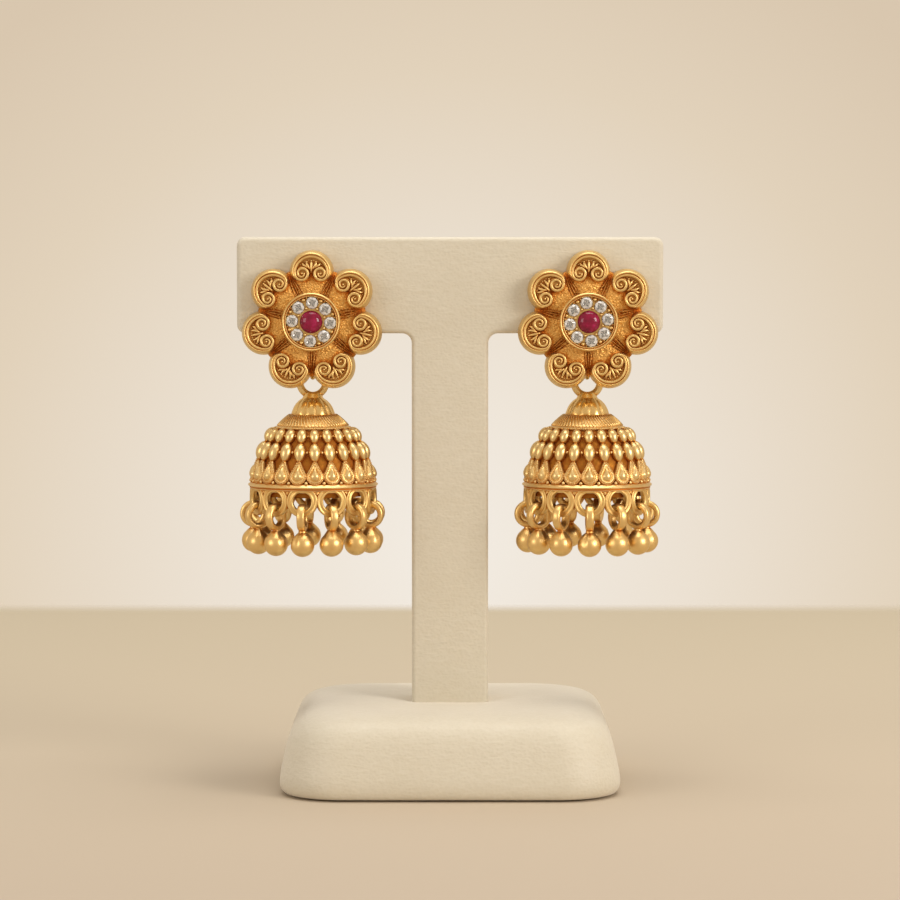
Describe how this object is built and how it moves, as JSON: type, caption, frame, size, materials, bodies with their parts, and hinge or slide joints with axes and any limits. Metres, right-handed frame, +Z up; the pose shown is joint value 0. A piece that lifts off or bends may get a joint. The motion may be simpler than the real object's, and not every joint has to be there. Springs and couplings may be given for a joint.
{
  "type": "pair of jhumka earrings on a display stand",
  "caption": "Pair of antique gold jhumka earrings, each a petalled stud with red and clear stones over a beaded bell with a ball fringe, hung on a plain cream T-shaped display stand.",
  "frame": {"origin": "middle of the underside of the stand's base, on the surface it stands on", "axes": "+X to the right as seen from the front, +Y to the back, +Z up; the earrings face -Y"},
  "size_m": [0.0696, 0.0518, 0.0893],
  "materials": {
    "cream_leatherette": "fine-grained matt leatherette over a firm core",
    "antique_gold": "gold-plated brass, satin, with dark crevices",
    "ruby": "polished deep red cabochon",
    "clear_stone": "polished clear brilliant"
  },
  "bodies": {
    "stand": {"stand_base": "cream_leatherette", "stand_tee": "cream_leatherette", "left_flower": "antique_gold", "left_setting": "antique_gold", "left_ruby": "ruby", "left_accent_stone_1": "clear_stone", "left_accent_stone_2": "clear_stone", "left_accent_stone_3": "clear_stone", "left_accent_stone_4": "clear_stone", "left_accent_stone_5": "clear_stone", "left_accent_stone_6": "clear_stone", "left_accent_stone_7": "clear_stone", "left_accent_stone_8": "clear_stone", "left_ear_post": "antique_gold", "right_flower": "antique_gold", "right_setting": "antique_gold", "right_ruby": "ruby", "right_accent_stone_1": "clear_stone", "right_accent_stone_2": "clear_stone", "right_accent_stone_3": "clear_stone", "right_accent_stone_4": "clear_stone", "right_accent_stone_5": "clear_stone", "right_accent_stone_6": "clear_stone", "right_accent_stone_7": "clear_stone", "right_accent_stone_8": "clear_stone", "right_ear_post": "antique_gold"},
    "left_bell": {"left_bell": "antique_gold", "left_drop_01": "antique_gold", "left_drop_02": "antique_gold", "left_drop_03": "antique_gold", "left_drop_04": "antique_gold", "left_drop_05": "antique_gold", "left_drop_06": "antique_gold", "left_drop_07": "antique_gold", "left_drop_08": "antique_gold", "left_drop_09": "antique_gold", "left_drop_10": "antique_gold", "left_drop_11": "antique_gold", "left_drop_12": "antique_gold", "left_drop_13": "antique_gold"},
    "right_bell": {"right_bell": "antique_gold", "right_drop_01": "antique_gold", "right_drop_02": "antique_gold", "right_drop_03": "antique_gold", "right_drop_04": "antique_gold", "right_drop_05": "antique_gold", "right_drop_06": "antique_gold", "right_drop_07": "antique_gold", "right_drop_08": "antique_gold", "right_drop_09": "antique_gold", "right_drop_10": "antique_gold", "right_drop_11": "antique_gold", "right_drop_12": "antique_gold", "right_drop_13": "antique_gold"}
  },
  "joints": [
    {"name": "left_bell_swing", "type": "hinge", "parent": "stand", "child": "left_bell", "pos_m": [-0.0225, -0.0024, 0.0676], "axis": [1, 0, 0], "range_deg": [-25, 60]},
    {"name": "right_bell_swing", "type": "hinge", "parent": "stand", "child": "right_bell", "pos_m": [0.0225, -0.0024, 0.0676], "axis": [1, 0, 0], "range_deg": [-25, 60]}
  ]
}
